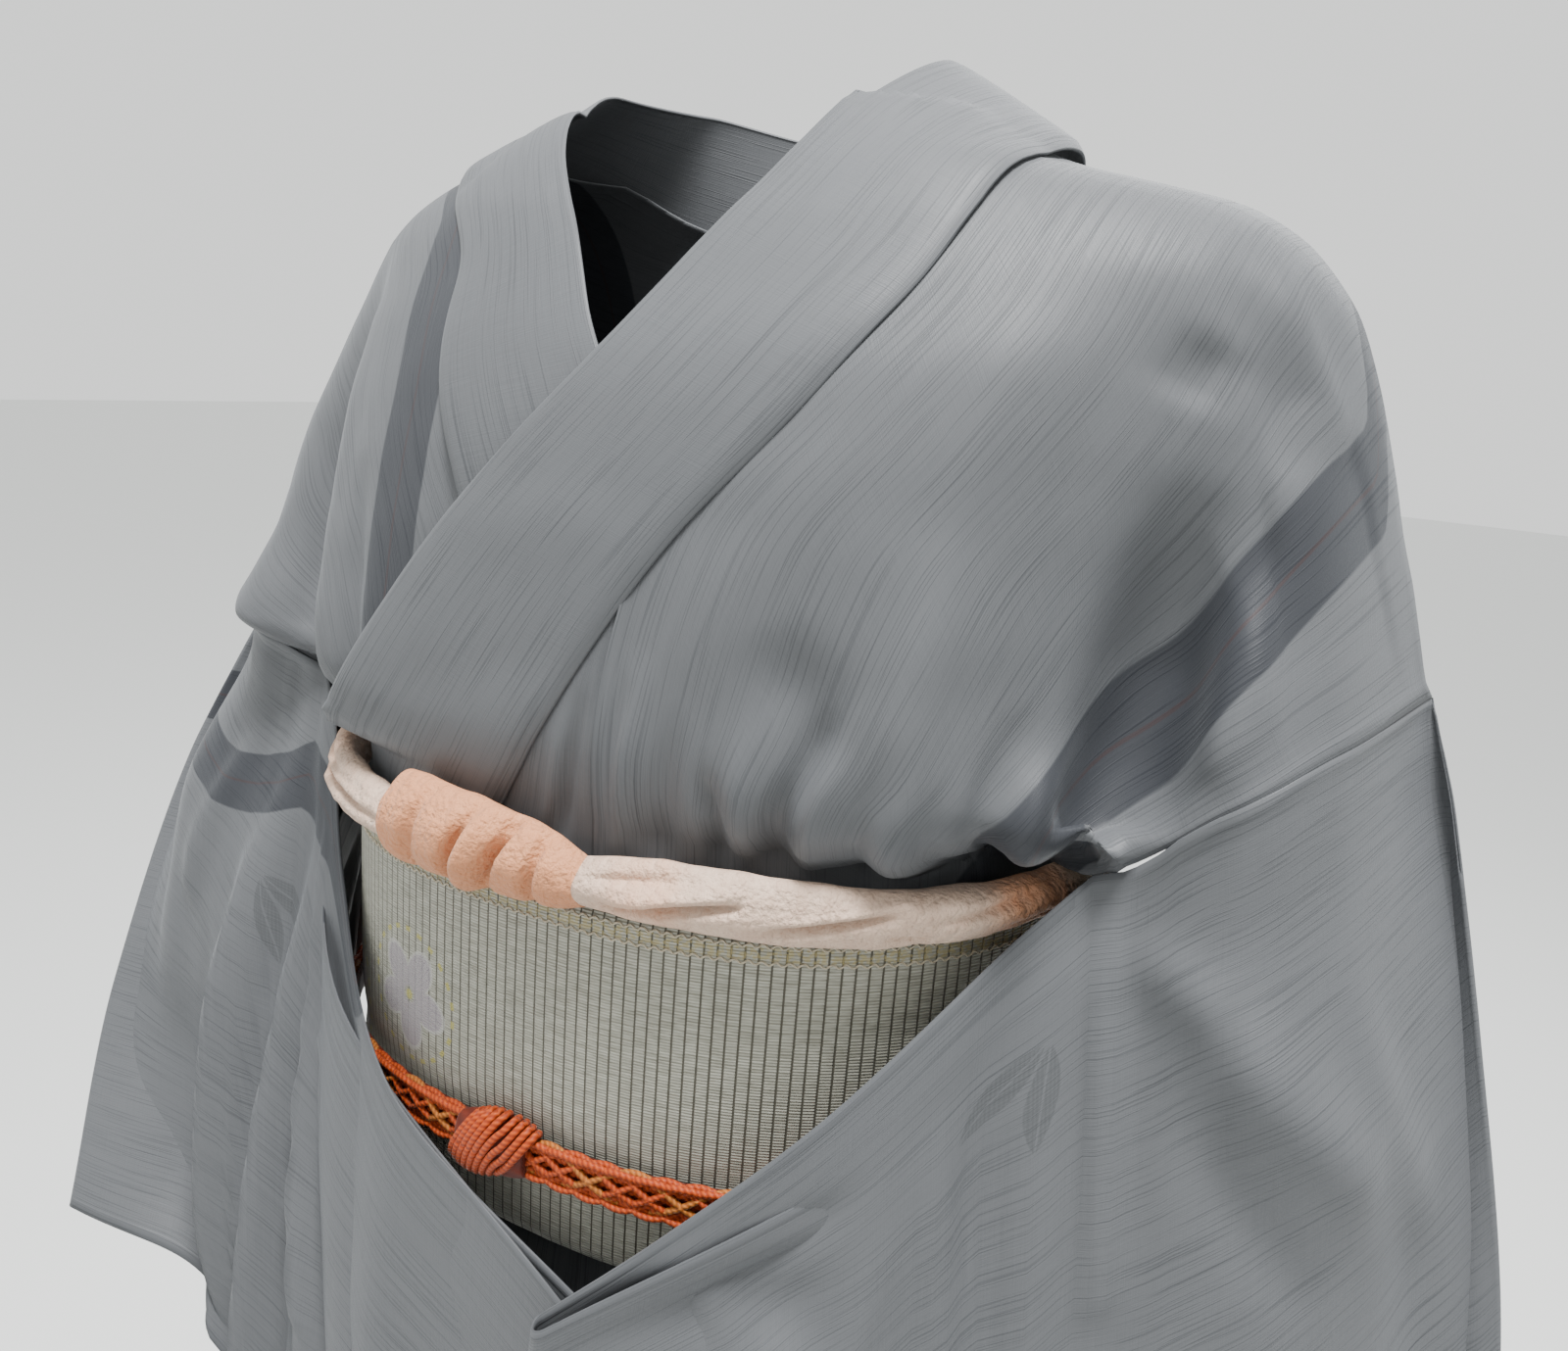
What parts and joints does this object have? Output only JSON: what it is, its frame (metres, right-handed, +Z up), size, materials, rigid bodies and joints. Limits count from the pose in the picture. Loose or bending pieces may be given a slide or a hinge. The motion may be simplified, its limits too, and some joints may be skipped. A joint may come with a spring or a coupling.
{
  "type": "summer kimono with sash, worn form",
  "caption": "Hollow worn summer kimono: crossed collar, wide sleeves swept to the front, long skirt, and its sash tied with a drum bow, a scarf and a cord.",
  "frame": {"origin": "on the centre line between the shoulders, where a wearer's shoulders hold the garment up", "axes": "+Z up, the front faces -Y, the wearer's left is +X"},
  "size_m": [0.6883, 0.3829, 1.341],
  "materials": {
    "cloth": "blue-grey plain weave with slub lines and a soft sheen",
    "sash": "pale silver-sage ribbed open weave",
    "scarf": "cream and peach crinkled silk",
    "scarf_knot": "salmon crinkled silk",
    "cord": "orange-red open braid with gold"
  },
  "bodies": {
    "root": {"body_left": "cloth", "body_right": "cloth", "overlap_left": "cloth", "overlap_right": "cloth", "collar": "cloth", "sleeve_left": "cloth", "sleeve_right": "cloth", "skirt_front_left": "cloth", "skirt_overlap_left": "cloth", "skirt_back_left": "cloth", "skirt_back_right": "cloth", "skirt_front_right": "cloth", "skirt_overlap_right": "cloth", "obi_band": "sash", "obi_drum": "sash", "obi_tail": "sash", "obi_hand": "sash", "obiage_left": "scarf", "obiage_right": "scarf", "obiage_back": "scarf", "obiage_knot": "scarf_knot", "obijime_left": "cord", "obijime_right": "cord", "obijime_knot": "cord"}
  },
  "joints": []
}
